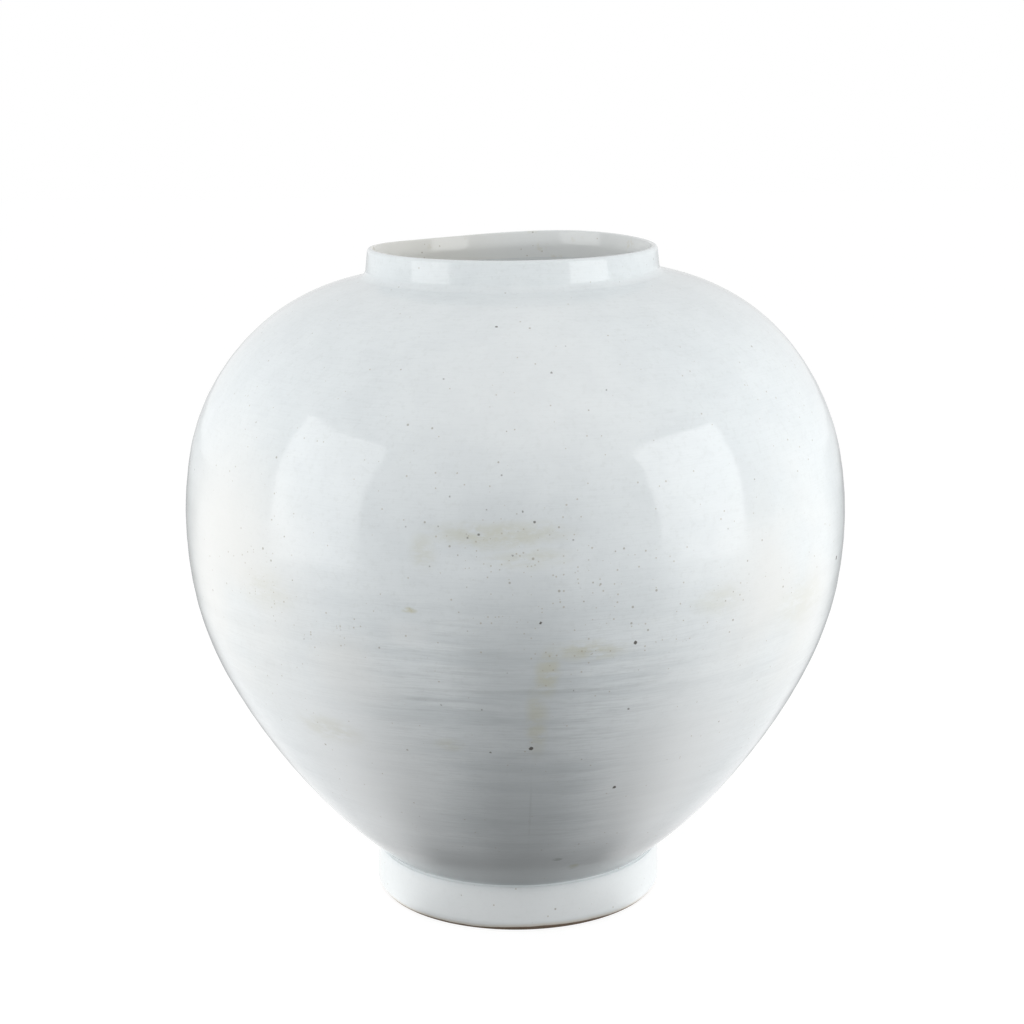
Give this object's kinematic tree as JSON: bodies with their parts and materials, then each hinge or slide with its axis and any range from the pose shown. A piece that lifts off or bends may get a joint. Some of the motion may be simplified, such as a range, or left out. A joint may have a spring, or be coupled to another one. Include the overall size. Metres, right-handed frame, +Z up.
{
  "type": "moon jar",
  "caption": "Round white-glazed porcelain jar built of thrown bowls luted at the waist, with a low upright mouth collar and a turned foot ring; it stands on its foot and holds things.",
  "frame": {"origin": "centre of the foot ring's seat, on the surface that the jar stands on", "axes": "+Z up along the jar's axis and out of its mouth; the side that the picture shows faces -Y"},
  "size_m": [0.44, 0.44, 0.44],
  "materials": {
    "glaze": "gloss",
    "slip": "gloss"
  },
  "bodies": {
    "root": {"foot_ring": "glaze", "foot_slip": "slip", "lower_bowl": "glaze", "waist_slip": "slip", "upper_bowl": "glaze", "collar_slip": "slip", "mouth_collar": "glaze"}
  },
  "joints": []
}
